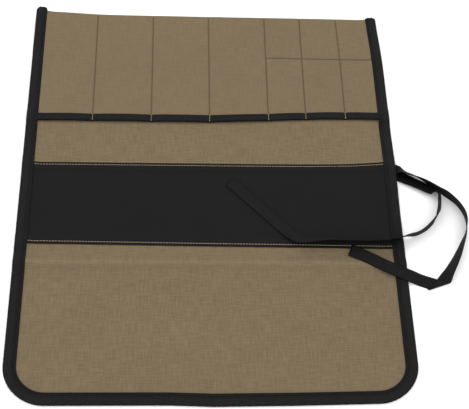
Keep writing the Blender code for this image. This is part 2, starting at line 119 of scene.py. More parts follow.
# how the cloth lies
lay = {
    "creaseDistance": 305.5 * mm,
    "creaseHeight": 1.6 * mm,
    "creaseReach": 9 * mm,
    "cornerLift": 4.5 * mm,
    "cornerLiftWidth": 100 * mm,
    "cornerLiftLength": 75 * mm,
    "tieRootReach": 40 * mm,
    "ripple": 0.35 * mm,       # slow unevenness of cloth that lies on a table
    "pocketPuff": 0.55 * mm,   # how much the pocket cloth stands off between its seams
    "mouthPuffWide": 0.9 * mm,
    "mouthPuffNarrow": 0.6 * mm,
    "seamPull": 1.7 * mm,      # width that a seam draws down, to each side
    "bandStitchPull": 0.32 * mm,     # how deep the top-stitching draws the band down, and how widely
    "bandStitchWidth": 1.1 * mm,
    "mouthStitchInset": 1.4 * mm,    # from the mouth tape's upper edge to its stitching
    "mouthStitchPull": 0.22 * mm,
    "mouthStitchWidth": 0.8 * mm,
}
ties = {
    "width": 12.7 * mm,
    "distance": 201 * mm,      # from the folded edge to the point between the two roots
}
# how far its edges run out of square: the sides come in towards the fold, and the hem wanders
square = {
    "leftDrawnIn": 0.6 * mm,
    "rightDrawnIn": 2.4 * mm,
    "drawnInLength": 90 * mm,
    "hemDriftLength": 70 * mm,
    "across": (-1.0, -0.8, -0.2, 0.0, 0.4, 0.75, 1.0),   # share of the half width
    "inward": (2.0, 1.5, 1.4, 0.0, 0.8, 2.2, 3.4),       # mm
}

ply = roll["canvas"] + roll["gap"]
tieLayer = 1.0 * mm            # what one tie adds under the binding
tapePly = roll["tape"] + roll["gap"]
halfWidth = roll["width"] / 2
hemY = -(roll["length"] + roll["leftTail"]) / 2
foldY = hemY + roll["length"]
bandStitch = 2.8 * mm          # from the band's edge to its top-stitching
clothInset = 1.5 * mm          # from the binding's outside to the edge of the cloth in it
stopY = foldY - roll["stopSeamDepth"]
creaseY = foldY - lay["creaseDistance"]
tieY = foldY - ties["distance"]


def edgeDistance(x, y):
    # distance in from the outline: a rectangle whose two near corners are circles
    side = halfWidth - np.abs(x)
    hem = y - hemY
    pastX = roll["cornerRadius"] - side
    pastY = roll["cornerRadius"] - hem
    inCorner = (pastX > 0) & (pastY > 0)
    return np.where(inCorner, roll["cornerRadius"] - np.hypot(pastX, pastY), np.minimum(side, hem))


def outOfSquare(points):
    # moves points of the square pattern, seen from above: x by the draw near the fold, y by the hem's drift
    x, y = points[..., 0], points[..., 1]
    across = x / halfWidth
    drawn = np.where(x < 0, square["leftDrawnIn"], -square["rightDrawnIn"])
    nearFold = smoothStep(foldY - square["drawnInLength"], foldY, y) ** 2
    hem = np.interp(across, square["across"], square["inward"]) * mm
    nearHem = 1 - smoothStep(hemY, hemY + square["hemDriftLength"], y)
    moved = x + drawn * nearFold * smoothStep(0.5, 1.0, np.abs(across)), y + hem * nearHem
    return np.stack((*moved, points[..., 2]), axis=-1)


def restHeight(x, y):
    # floor under the roll's lowest layer: lifted far left corner, crease across the flap, tie roots
    fromLeft = 1 - smoothStep(0, lay["cornerLiftWidth"], x + halfWidth)
    fromFold = 1 - smoothStep(0, lay["cornerLiftLength"], foldY - y)
    corner = lay["cornerLift"] * fromLeft**1.5 * fromFold
    crease = lay["creaseHeight"] * hump(lay["creaseReach"], y - creaseY)
    pastTies = np.maximum(np.abs(y - tieY) - ties["width"] - 0.3 * mm, 0)
    inside = halfWidth - roll["bindingLeaf"] - x
    roots = 2 * tieLayer * hump(lay["tieRootReach"], pastTies)
    roots = roots * hump(lay["tieRootReach"], np.maximum(inside, 0))
    return corner + crease + roots


def ripple(x, y):
    # the sum of three slow crossed waves, never negative, and none where the edge is bound
    waves = (np.sin(x / (37 * mm) + 1.3 * np.sin(y / (61 * mm)))
             + 0.8 * np.sin(y / (29 * mm) + 1.1 * np.sin(x / (53 * mm) + 0.7))
             + 0.5 * np.sin((x + 1.7 * y) / (43 * mm) + 2.1))
    return lay["ripple"] * (waves / 4.6 + 0.5) * smoothStep(12 * mm, 40 * mm, edgeDistance(x, y))


def backHeight(x, y):
    # middle of the back cloth: it steps up at the bound edges, over the binding's lower leaf
    leaf = roll["bindingLeaf"]
    step = tapePly * (1 - smoothStep(leaf, 1.6 * leaf, edgeDistance(x, y)))
    return restHeight(x, y) + step + ripple(x, y) + roll["canvas"] / 2


def mouthY(x):
    # the pockets' mouths run a little uphill on the right
    return foldY - roll["pocketDepth"] + roll["mouthRise"] * smoothStep(-0.1 * halfWidth, 0.8 * halfWidth, x)


def seamPlaces():
    # x of both ends of the pocket row and of the seams between pockets, from their shares
    row = roll["width"] - 2 * roll["bindingLeaf"]
    ends = np.cumsum((0.0,) + roll["pocketShares"])
    return -row / 2 + row * ends / ends[-1]


seams = seamPlaces()


def offSeams(x, y):
    # distance from the nearest seam: those between pockets, and the one across the narrow pockets
    along = np.min(np.abs(x[..., None] - seams[1:-1]), axis=-1)
    acrossReach = np.maximum(seams[roll["widePockets"]] - x, 0)
    across = np.hypot(y - stopY, acrossReach)
    return np.minimum(along, across)


def pocketArch(x):
    # a flat arch over each pocket: 1 in its middle, 0 at its seams
    index = np.clip(np.searchsorted(seams, x, side="right") - 1, 0, len(seams) - 2)
    left, right = seams[index], seams[index + 1]
    across = np.clip(np.abs(2 * (x - left) / (right - left) - 1), 0.0, 1.0)
    size = np.where(index < roll["widePockets"], lay["mouthPuffWide"], lay["mouthPuffNarrow"])
    return (1 - across**2) ** 0.8, size


def overMouthLeaf(x, y):
    # rise over the leaf of tape inside the mouth
    leaf = roll["mouthLeaf"] + 0.6 * mm
    return tapePly * (1 - smoothStep(leaf, 2.2 * leaf, y - mouthY(x)))


def pocketGap(x, y):
    # air under the pocket cloth: tight at the seams, a little puffed between, more at the mouths
    arch, size = pocketArch(x)
    pull = 1 - bell(lay["seamPull"], offSeams(x, y))
    toMouth = 1 - smoothStep(0, 0.55 * roll["pocketDepth"], y - mouthY(x))
    edge = smoothStep(0, 5 * mm, foldY - y) * 0.7 + 0.3
    return roll["gap"] + overMouthLeaf(x, y) + pull * (lay["pocketPuff"] * edge + size * arch * toMouth)


def pocketHeight(x, y):
    # middle of the pocket cloth
    return backHeight(x, y) + roll["canvas"] + pocketGap(x, y)


def bandTopY(x):
    return foldY - roll["bandStart"] + roll["bandTopRise"] * np.clip(x / halfWidth, 0, 1) ** 3


def bandBottomY(x):
    return foldY - roll["bandStart"] - roll["bandLength"] - roll["bandBottomSlant"] * x / halfWidth


def bandTurned(x, y):
    # 1 over the turned-under edges of the band, 0 over its single layer
    fromEdge = np.minimum(y - bandBottomY(x), bandTopY(x) - y)
    return 1 - smoothStep(roll["bandHem"], roll["bandHem"] + roll["bandHemStep"], fromEdge)


def bandStitchPull(x, y):
    # the top-stitching pulls the band down along a line just inside each long edge
    fromEdge = np.minimum(y - bandBottomY(x), bandTopY(x) - y)
    return lay["bandStitchPull"] * bell(lay["bandStitchWidth"], fromEdge - bandStitch)


def bandHeight(x, y):
    # middle of the band's upper layer
    under = backHeight(x, y) + roll["canvas"] / 2 + roll["gap"] + roll["tape"] / 2
    return under + tapePly * bandTurned(x, y) - bandStitchPull(x, y)


def bindingSlot(x, y):
    # space between the binding's two leaves: the layers of cloth there, and none past the fold
    blend = 6 * mm
    fromMouth = y - mouthY(x)
    inPocket = smoothStep(-blend, 0, fromMouth)
    leaf = roll["mouthLeaf"]
    inTape = inPocket * (1 - smoothStep(leaf + 1 * mm, leaf + 1 * mm + blend, fromMouth))
    pastBand = np.maximum(bandBottomY(x) - y, y - bandTopY(x))
    inBand = 1 - smoothStep(0.2 * mm, blend, pastBand)
    inHem = inBand * smoothStep(-roll["bandHem"] - roll["bandHemStep"], -roll["bandHem"], pastBand)
    layers = inPocket * (ply + overMouthLeaf(x, y)) + (inTape + inBand + inHem) * tapePly
    full = 2 * roll["gap"] + roll["canvas"] + layers
    return full * (1 - 0.6 * smoothStep(0, roll["leftTail"], y - foldY))


# grids become meshes
def mapCloth(mesh, uv):
    # gives each point its place on the cloth, in metres, and shades the mesh smooth
    layer = mesh.uv_layers.new(name="cloth")
    loops = np.empty(len(mesh.loops), np.int32)
    mesh.loops.foreach_get("vertex_index", loops)
    layer.data.foreach_set("uv", uv.reshape(-1, 2)[loops].ravel().astype(np.float32))
    mesh.shade_smooth()
    mesh.update()
    return mesh


def gridMesh(name, grid, uv):
    # a sheet through rows x columns of points; neighbours in the grid make its faces
    rows, columns = grid.shape[:2]
    index = np.arange(rows * columns).reshape(rows, columns)
    corners = (index[:-1, :-1], index[:-1, 1:], index[1:, 1:], index[1:, :-1])
    mesh = bpy.data.meshes.new(name)
    mesh.from_pydata(grid.reshape(-1, 3), [], np.stack(corners, axis=-1).reshape(-1, 4))
    return mapCloth(mesh, uv)


def paintAttribute(mesh, name, values):
    attribute = mesh.attributes.new(name, "FLOAT", "POINT")
    attribute.data.foreach_set("value", values.ravel().astype(np.float32))


def addPiece(name, mesh, material):
    piece = bpy.data.objects.new(name, mesh)
    bpy.context.scene.collection.objects.link(piece)
    mesh.materials.append(material)
    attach(piece, "root")
    return piece


def thicken(piece, thickness):
    wall = piece.modifiers.new("thickness", "SOLIDIFY")
    wall.thickness = thickness
    wall.offset = 0.0
    wall.use_even_offset = True
    return piece


def lengthAlong(grid):
    # distance run from the first row to each row, averaged over the columns
    steps = np.linalg.norm(np.diff(grid, axis=0), axis=2).mean(axis=1)
    return np.concatenate(([0.0], np.cumsum(steps)))


# shader maths: a number in a material, on which Python's own operators add Math nodes
class Value:
    def __init__(self, tree, socket):
        self.tree, self.socket = tree, socket

    def with_(self, operation, other=0.0, swapped=False, clamp=False):
        first, second = (other, self) if swapped else (self, other)
        settings = {"operation": operation, "use_clamp": clamp}
        node = addNode(self.tree, "ShaderNodeMath", settings, {0: first, 1: second})
        return Value(self.tree, node.outputs[0])

    def __add__(self, other):
        return self.with_("ADD", other)

    def __sub__(self, other):
        return self.with_("SUBTRACT", other)

    def __rsub__(self, other):
        return self.with_("SUBTRACT", other, swapped=True)

    def __mul__(self, other):
        return self.with_("MULTIPLY", other)

    __radd__, __rmul__ = __add__, __mul__


def addNode(tree, kind, settings=None, values=None):
    # one node: its settings first, then a link or a plain value for each named input
    node = tree.nodes.new(kind)
    for name, setting in (settings or {}).items():
        setattr(node, name, setting)
    for name, value in (values or {}).items():
        if isinstance(value, Value):
            tree.links.new(value.socket, node.inputs[name])
        elif isinstance(value, bpy.types.NodeSocket):
            tree.links.new(value, node.inputs[name])
        else:
            node.inputs[name].default_value = value
    return node


def clothPlane(tree):
    # the two lengths along and across the cloth, in metres, from the piece's own map
    uv = addNode(tree, "ShaderNodeUVMap", {"uv_map": "cloth"})
    parts = addNode(tree, "ShaderNodeSeparateXYZ", None, {"Vector": uv.outputs["UV"]})
    return Value(tree, parts.outputs["X"]), Value(tree, parts.outputs["Y"])


def noiseOf(tree, x, y, z=0.0, detail=2.0):
    # Perlin noise of two lengths that are already divided by the size of its grains
    vector = addNode(tree, "ShaderNodeCombineXYZ", None, {"X": x, "Y": y, "Z": z})
    noise = addNode(tree, "ShaderNodeTexNoise", None,
                    {"Vector": vector.outputs["Vector"], "Scale": 1.0, "Detail": detail})
    return Value(tree, noise.outputs["Fac"])


def plainWeave(tree, u, v, pitch):
    # yarns of cos^2 section; each is high where it passes over, which alternates like a chequerboard
    warp = (u * (math.pi / pitch)).with_("COSINE")
    weft = (v * (math.pi / pitch)).with_("COSINE")
    over = warp * weft * 0.42
    return (warp * warp * (over + 0.58)).with_("MAXIMUM", weft * weft * (0.58 - over))


def herringbone(tree, u, v, pitch, stripe):
    # diagonal ribs whose direction turns round from one stripe along the tape to the next
    folded = (u * (1 / stripe)).with_("PINGPONG", 1.0) * stripe
    rib = ((folded + v) * (math.pi / pitch)).with_("COSINE")
    return rib * rib


def fabricMaterial(name, facts):
    # woven cloth: colour with slubs and soft blotches, painted shade in the weave's hollows, and a bump from
    # its weave
    material = bpy.data.materials.new(name)
    material.use_nodes = True
    tree = material.node_tree
    surface = tree.nodes["Principled BSDF"]
    u, v = clothPlane(tree)
    uneven = noiseOf(tree, u * (1 / (9 * mm)), v * (1 / (9 * mm)), 3.0) - 0.5
    if facts["weave"] == "plain":
        weave = plainWeave(tree, u + uneven * facts["drift"], v + uneven * facts["drift"], facts["pitch"])
    else:
        weave = herringbone(tree, u, v, facts["pitch"], facts["stripe"])
    slubAcross = noiseOf(tree, u * (1 / facts["slubLength"]), v * (1 / facts["slubWidth"]))
    slubAlong = noiseOf(tree, u * (1 / facts["slubWidth"]), v * (1 / facts["slubLength"]), 7.0)
    blotch = noiseOf(tree, u * (1 / (45 * mm)), v * (1 / (45 * mm)), 5.0, 4.0)
    slubs = ((slubAcross - 0.5) + (slubAlong - 0.5)) * facts["slub"]
    if facts.get("coarse"):
        # the slubs show more on the flat part of the cloth, up to its fold
        flat = ((facts["fold"] - v) * (1 / mm)).with_("MULTIPLY", 1.0, clamp=True)
        slubs = slubs * (flat * facts["coarse"] + 1.0)
    shade = slubs + (blotch - 0.5) * facts["blotch"]
    # painted shade in the weave's hollows and a painted highlight on the yarns' crowns
    shade = shade + (weave - 0.5) * facts["hollow"] + 1.0
    # painted light and shade that each mesh carries in its shading attribute
    if facts.get("seam"):
        seam = addNode(tree, "ShaderNodeAttribute", {"attribute_name": "paintedShading"})
        shade = shade * (1.0 - Value(tree, seam.outputs["Fac"]) * facts["seam"])
    tint = addNode(tree, "ShaderNodeVectorMath", {"operation": "SCALE"}, {0: facts["colour"], "Scale": shade})
    tree.links.new(tint.outputs["Vector"], surface.inputs["Base Color"])
    height = weave + (slubAcross + slubAlong) * facts["slubRelief"]
    bump = addNode(tree, "ShaderNodeBump", None,
                   {"Height": height, "Strength": facts["relief"], "Distance": facts["depth"]})
    tree.links.new(bump.outputs["Normal"], surface.inputs["Normal"])
    surface.inputs["Roughness"].default_value = facts["roughness"]
    surface.inputs["Specular IOR Level"].default_value = facts["specular"]
    surface.inputs["Sheen Weight"].default_value = facts["sheen"]
    surface.inputs["Sheen Roughness"].default_value = 0.5
    return material


canvasFacts = {
    "colour": (0.1605, 0.1200, 0.0705), "weave": "plain", "pitch": 0.62 * mm, "drift": 0.5 * mm,
    "slubLength": 14 * mm, "slubWidth": 1.3 * mm, "slub": 0.30, "blotch": 0.12, "hollow": 0.30,
    "slubRelief": 0.6, "relief": 0.6, "depth": 0.16 * mm, "seam": 0.45,
    "coarse": 0.6, "fold": roll["length"],
    "roughness": 0.9, "specular": 0.15, "sheen": 0.0,
}
bandFacts = {
    "colour": (0.0082, 0.0082, 0.0090), "weave": "plain", "pitch": 0.55 * mm, "drift": 0.3 * mm,
    "slubLength": 12 * mm, "slubWidth": 1.0 * mm, "slub": 0.25, "blotch": 0.16, "hollow": 0.4,
    "slubRelief": 0.4, "relief": 0.45, "depth": 0.13 * mm,
    "roughness": 0.85, "specular": 0.11, "sheen": 0.0,
}
tapeFacts = {
    "colour": (0.0086, 0.0084, 0.0085), "weave": "herringbone", "pitch": 1.0 * mm, "stripe": 5.2 * mm,
    "slubLength": 7 * mm, "slubWidth": 1.2 * mm, "slub": 0.9, "blotch": 0.4, "hollow": 0.6,
    "slubRelief": 0.3, "relief": 0.6, "depth": 0.2 * mm,
    "roughness": 0.8, "specular": 0.13, "sheen": 0.0, "seam": 0.8,
}
tieFacts = {
    "colour": (0.0054, 0.0054, 0.0058), "weave": "herringbone", "pitch": 0.9 * mm, "stripe": 4.2 * mm,
    "slubLength": 7 * mm, "slubWidth": 1.2 * mm, "slub": 0.9, "blotch": 0.4, "hollow": 0.6,
    "slubRelief": 0.3, "relief": 0.6, "depth": 0.2 * mm,
    "roughness": 0.75, "specular": 0.14, "sheen": 0.0, "seam": 0.8,
}
canvasCloth = fabricMaterial("canvasCloth", canvasFacts)
bandCloth = fabricMaterial("bandCloth", bandFacts)
bindingTape = fabricMaterial("bindingTape", tapeFacts)
tieTape = fabricMaterial("tieTape", tieFacts)


def threadMaterial(name, colour, twist):
    # twisted sewing thread: two plies seen as slanting light and dark stripes along each stitch, painted
    # shade in the grooves between them
    material = bpy.data.materials.new(name)
    material.use_nodes = True
    tree = material.node_tree
    surface = tree.nodes["Principled BSDF"]
    u, v = clothPlane(tree)
    plies = ((u * (1 / twist) + v) * (2 * math.pi)).with_("COSINE") * 0.5 + 0.5
    tint = addNode(tree, "ShaderNodeVectorMath", {"operation": "SCALE"},
                   {0: colour, "Scale": plies * 0.5 + 0.7})
    tree.links.new(tint.outputs["Vector"], surface.inputs["Base Color"])
    bump = addNode(tree, "ShaderNodeBump", None, {"Height": plies, "Strength": 0.5, "Distance": 0.06 * mm})
    tree.links.new(bump.outputs["Normal"], surface.inputs["Normal"])
    surface.inputs["Roughness"].default_value = 0.6
    surface.inputs["Specular IOR Level"].default_value = 0.3
    return material


tanThread = threadMaterial("tanThread", (0.36, 0.28, 0.175), 0.8 * mm)
brownThread = threadMaterial("brownThread", (0.085, 0.061, 0.036), 0.8 * mm)
blackThread = threadMaterial("blackThread", (0.0055, 0.0053, 0.005), 0.8 * mm)
print("materials made")


def spread(first, last, step):
    return np.linspace(first, last, max(int(math.ceil(abs(last - first) / step)), 1) + 1)


besideSeam = np.array([0.0, 0.4, 0.9, 1.5, 2.3, 3.5, 5.5]) * mm


def clothColumns():
    # x of the columns: close together at each seam and at both bound sides, wider between them
    side = halfWidth - clothInset
    atSeams = (seams[1:-1, None] + np.concatenate((-besideSeam[:0:-1], besideSeam))).ravel()
    ends = np.concatenate((seams[:1] - 5.5 * mm, seams[1:-1], seams[-1:] + 5.5 * mm))
    between = [spread(a + 5.5 * mm, b - 5.5 * mm, 5 * mm) for a, b in zip(ends[:-1], ends[1:])]
    edges = np.array([side, side - 3 * mm, side - 6 * mm, side - 8.5 * mm, side - 11 * mm])
    return np.unique(np.round(np.concatenate((-edges, atSeams, *between, edges)), 6))


def drawnIn(x, y):
    # columns near the sides move in where the flap's corners are round, so the outer one follows the edge
    radius = roll["cornerRadius"] - clothInset
    side = halfWidth - clothInset
    below = np.clip(hemY + clothInset + radius - y, 0.0, radius)
    width = side - radius + np.sqrt(np.maximum(radius**2 - below**2, 0.0))
    inner = side - 1.25 * radius
    outer = inner + (np.abs(x) - inner) * (width - inner) / (side - inner)
    return np.sign(x) * np.where(np.abs(x) > inner, outer, np.abs(x))


# painted light and shade on the back cloth: painted highlights along the crease and beside the mouths and the
# band's edges, and painted shade where the amount is below 0, to both sides of the crease: how much, how far
# past what they follow, how wide
canvasLines = {
    "crease": (0.22, 0.0, 1.7 * mm),
    "belowCrease": (-0.1, -6.2 * mm, 2.6 * mm),
    "aboveCrease": (-0.05, 5 * mm, 3 * mm),
    "mouths": (0.3, -2 * mm, 3 * mm),
    "bandTop": (0.35, 1 * mm, 1.6 * mm),
    "bandBottom": (0.3, -1 * mm, 1.4 * mm),
}
# painted shade in the dip along each seam, as a dark line of this width
seamLineWidth = 0.75 * mm      # of the dark line at each seam


def lineShade(name, fromLine):
    # the bell curve of one of those lines
    amount, past, width = canvasLines[name]
    return amount * bell(width, fromLine - past)


def canvasGrid():
    # one cloth from the hem up the back, round a half circle at the fold and down to the mouths
    x = clothColumns()
    radius = roll["cornerRadius"] - clothInset
    turns = np.radians(np.linspace(0, 90, 13))
    corner = hemY + clothInset + radius * (1 - np.cos(turns))
    crease = creaseY + np.linspace(-1.15, 1.15, 21) * lay["creaseReach"]
    mouthRows = foldY - roll["pocketDepth"] + np.arange(-9, 10) * mm
    bandEdges = foldY - roll["bandStart"] - np.array([0, roll["bandLength"]])
    bandRows = (bandEdges[:, None] + np.arange(-4, 7) * 0.8 * mm).ravel()
    straight = spread(corner[-1], foldY - 2.5 * mm, 5 * mm)
    straight = straight[np.abs(straight - creaseY) > 1.3 * lay["creaseReach"]]
    rows = np.unique(np.round(np.concatenate((corner, straight, crease, mouthRows, bandRows)), 6))
    backY, backX = np.meshgrid(rows, x, indexing="ij")
    backX = drawnIn(backX, backY)
    back = np.stack((backX, backY, backHeight(backX, backY)), axis=-1)

    nearFold = np.full_like(x, foldY - 1.5 * mm)
    low, high = backHeight(x, nearFold), pocketHeight(x, nearFold)
    half = (high - low) / 2
    angle = np.radians(np.linspace(0, 180, 11))[:, None]
    turnY = foldY - roll["canvas"] / 2 - half + half * np.sin(angle)
    turn = np.stack((np.broadcast_to(x, turnY.shape), turnY, low + half * (1 - np.cos(angle))), axis=-1)

    besideStop = np.concatenate((besideSeam[:0:-1], -besideSeam))
    upper = np.concatenate((spread(foldY - 4 * mm, stopY + 9 * mm, 4.5 * mm), stopY + besideStop))
    upperY, upperX = np.meshgrid(upper, x, indexing="ij")
    mouthEnd = mouthY(x) + clothInset
    leafEnd = mouthY(x) + 2.2 * roll["mouthLeaf"]
    share = np.linspace(0, 1, 15)[1:, None]
    lowerY = upper[-1] + (leafEnd - upper[-1]) * share
    leafY = leafEnd + (mouthEnd - leafEnd) * np.linspace(0, 1, 13)[1:, None]
    frontY = np.concatenate((upperY, lowerY, leafY))
    frontX = np.broadcast_to(x, frontY.shape)
    front = np.stack((frontX, frontY, pocketHeight(frontX, frontY)), axis=-1)
    grid = np.concatenate((back, turn, front))
    along = lengthAlong(grid)
    uv = np.stack((grid[..., 0], np.broadcast_to(along[:, None], grid.shape[:2])), axis=-1)
    # the back cloth takes the painted light and shade above, and the pocket cloth has painted shade at its
    # seams
    paintedLighting = sum(lineShade(name, backY - creaseY) for name in ("crease", "belowCrease", "aboveCrease"))
    paintedLighting = paintedLighting + lineShade("mouths", backY - mouthY(backX))
    paintedLighting = paintedLighting + lineShade("bandTop", backY - bandTopY(backX))
    paintedLighting = paintedLighting + lineShade("bandBottom", backY - bandBottomY(backX))
    shade = np.zeros(grid.shape[:2])
    shade[:len(backY)] = -paintedLighting
    shade[-len(frontY):] = bell(seamLineWidth, offSeams(frontX, frontY))
    return grid, uv, shade


grid, uv, shade = canvasGrid()
mesh = gridMesh("canvasBody", outOfSquare(grid), uv)
paintAttribute(mesh, "paintedShading", shade)
canvasBody = thicken(addPiece("canvasBody", mesh, canvasCloth), roll["canvas"])
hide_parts("canvas_body")
print("canvas laid and folded")


def bandGrid():
    # a cloth whose two long edges are turned under: lower layer, half circle, upper layer, and the same back
    x = clothColumns()
    bend = tapePly / 2
    centre = bend + roll["tape"] / 2
    under = np.array([roll["bandHem"] / mm, 6.2, 4.8, 3.4, 2.2, 1.4]) * mm
    angle = np.radians(np.linspace(0, 180, 9))
    over = np.array([1.3, 1.7, 2.1, 2.5, 2.9, 3.4, 4.2, 5.4, 6.8, 7.8, 8.8, 9.8, 11]) * mm
    distance = np.concatenate((under, centre - bend * np.sin(angle), over))
    lift = np.concatenate((np.zeros(len(under)), (1 - np.cos(angle)) / 2, np.ones(len(over))))
    isOver = np.arange(len(distance)) >= len(under) + len(angle)

    def half(edgeY, direction):
        y = edgeY + direction * distance[:, None]
        at = np.broadcast_to(x, y.shape)
        base = backHeight(at, y) + roll["canvas"] / 2 + roll["gap"] + roll["tape"] / 2
        z = np.where(isOver[:, None], bandHeight(at, y), base + tapePly * lift[:, None])
        return np.stack((at, y, z), axis=-1)

    near, far = half(bandBottomY(x), 1), half(bandTopY(x), -1)
    share = np.linspace(0, 1, 16)[1:-1, None]
    middleY = near[-1, :, 1] + (far[-1, :, 1] - near[-1, :, 1]) * share
    middleX = np.broadcast_to(x, middleY.shape)
    middle = np.stack((middleX, middleY, bandHeight(middleX, middleY)), axis=-1)
    grid = np.concatenate((near, middle, far[::-1]))
    along = lengthAlong(grid)
    return grid, np.stack((grid[..., 0], np.broadcast_to(along[:, None], grid.shape[:2])), axis=-1)


grid, uv = bandGrid()
mesh = gridMesh("blackBand", outOfSquare(grid), uv)
band = thicken(addPiece("blackBand", mesh, bandCloth), roll["tape"])
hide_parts("black_band")
print("band laid")


# how much darker the mouth tape is all over, and the painted shade along its folded edge and along its
# stitching
mouthTapePaintedShade = {
    "all": 0.08,
    "fold": 0.75,
    "foldInset": 0.2 * mm,
    "groove": 0.35,
    "grooveInset": 1.0 * mm,
    "width": 0.9 * mm,
}


def mouthTapeGrid():
    # a tape folded over the edge of the pocket cloth: both leaves keep the same distance from it
    x = clothColumns()
    half = (roll["canvas"] + roll["tape"]) / 2 + roll["gap"]
    leaf = roll["mouthLeaf"] - np.array([0, 0.35, 0.8, 1.4, 2.0, 2.8, 4, 5.2, 6]) * mm
    angle = np.radians(np.linspace(0, 180, 9))
    centre = half + roll["tape"] / 2
    distance = np.concatenate((leaf, centre - half * np.sin(angle), leaf[::-1]))[:, None]
    side = np.concatenate((-np.ones(len(leaf)), -np.cos(angle), np.ones(len(leaf))))[:, None]
    y = mouthY(x) + distance
    at = np.broadcast_to(x, y.shape)
    z = pocketHeight(at, np.maximum(y, mouthY(at) + clothInset)) + half * side
    fromEdge = roll["mouthLeaf"] - distance
    pull = lay["mouthStitchPull"] * bell(lay["mouthStitchWidth"], fromEdge - lay["mouthStitchInset"])
    pull = pull * (side > 0.99)
    grid = np.stack((at, y, z - pull), axis=-1)
    along = lengthAlong(grid)
    paint = mouthTapePaintedShade
    # darker all over, with painted shade along the folded edge and the stitching groove
    shade = paint["all"] + paint["fold"] * bell(paint["width"], distance - paint["foldInset"])
    shade = shade + paint["groove"] * bell(paint["width"], fromEdge - paint["grooveInset"])
    uv = np.stack((np.broadcast_to(along[:, None], y.shape), at), axis=-1)
    return grid, uv, np.broadcast_to(shade, y.shape)


grid, uv, shade = mouthTapeGrid()
mesh = gridMesh("pocketMouthTape", outOfSquare(grid), uv)
paintAttribute(mesh, "paintedShading", shade)
mouthTape = addPiece("pocketMouthTape", mesh, bindingTape)
thicken(mouthTape, roll["tape"])
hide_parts("pocket_mouth_tape")
print("mouth tape folded on")


def outline():
    # stations on the roll's outer edge, left end to right end, with inward directions and end rounding
    side = spread(hemY + roll["cornerRadius"], foldY, 3 * mm)
    tail = np.array([0.3, 0.55, 0.75, 0.88, 0.96, 1.0])
    radius = roll["cornerRadius"]
    cornerX, cornerY = halfWidth - radius, hemY + radius
    angle = np.radians(np.linspace(0, 90, 25))[1:-1]
    hem = spread(-cornerX, 0, 4 * mm)
    endY = foldY + roll["leftTail"] * tail[::-1]
    x = np.concatenate((np.full(len(tail) + len(side), -halfWidth), -cornerX - radius * np.cos(angle), hem))
    y = np.concatenate((endY, side[::-1], cornerY - radius * np.sin(angle), np.full(len(hem), hemY)))
    inX = np.concatenate((np.ones(len(tail) + len(side)), np.cos(angle), np.zeros(len(hem))))
    inY = np.concatenate((np.zeros(len(tail) + len(side)), np.sin(angle), np.ones(len(hem))))
    rounding = np.zeros(len(x))
    rounding[:len(tail)] = (1 - np.sqrt(1 - tail[::-1] ** 2)) * 0.3
    left = np.stack((x, y, inX, inY, rounding), axis=-1)
    right = (left * (-1, 1, -1, 1, 1))[:-1]
    right[:len(tail), 1] = foldY + roll["rightTail"] * tail[::-1]
    return np.concatenate((left, right[::-1]))


bindingShape = {
    "bend": 1.25 * mm,       # radius of the tape's two bends at the outer edge
    "stitchInset": 3.6 * mm, # from the leaf's inner edge to its stitching
    "stitchPull": 0.24 * mm,
    "stitchWidth": 0.85 * mm,
    "crown": 0.16 * mm,      # swelling of the leaf between the stitching and the outer edge
    # painted shade at the stitching groove and at the inner edge; the strip inside the stitching is darker
    # too
    "grooveShade": 0.7,      # how much darker it is at the stitching, inside it and at its inner edge
    "grooveWidth": 1.0 * mm,
    "insideShade": 0.35,
    "innerEdgeShade": 0.25,
}


def bindingProfile(half):
    # distances in and heights from the middle for stations with these half heights: leaf, bend, bend, leaf
    leaf = roll["bindingLeaf"] - roll["tape"] / 2
    bend = np.minimum(bindingShape["bend"], half)[:, None]
    half = half[:, None]
    share = np.array([1, 0.96, 0.9, 0.83, 0.77, 0.73, 0.69, 0.65, 0.6, 0.5, 0.38, 0.23])
    angle = np.radians(np.linspace(0, 90, 6))
    flatIn = bend + (leaf - bend) * share
    bendIn = bend - bend * np.sin(angle)
    bendUp = half - bend + bend * np.cos(angle)
    inner = leaf - flatIn
    pull = bindingShape["stitchPull"] * bell(bindingShape["stitchWidth"], inner - bindingShape["stitchInset"])
    crown = bindingShape["crown"] * hump(4 * mm, flatIn - 0.5 * leaf)
    upperIn = np.concatenate((flatIn, bendIn), axis=1)
    upperUp = np.concatenate((half - pull + crown, bendUp), axis=1)
    lowerUp = np.concatenate((half + 0 * flatIn, bendUp), axis=1)
    across = np.concatenate((upperIn, upperIn[:, ::-1]), axis=1)
    return across, np.concatenate((upperUp, -lowerUp[:, ::-1]), axis=1)


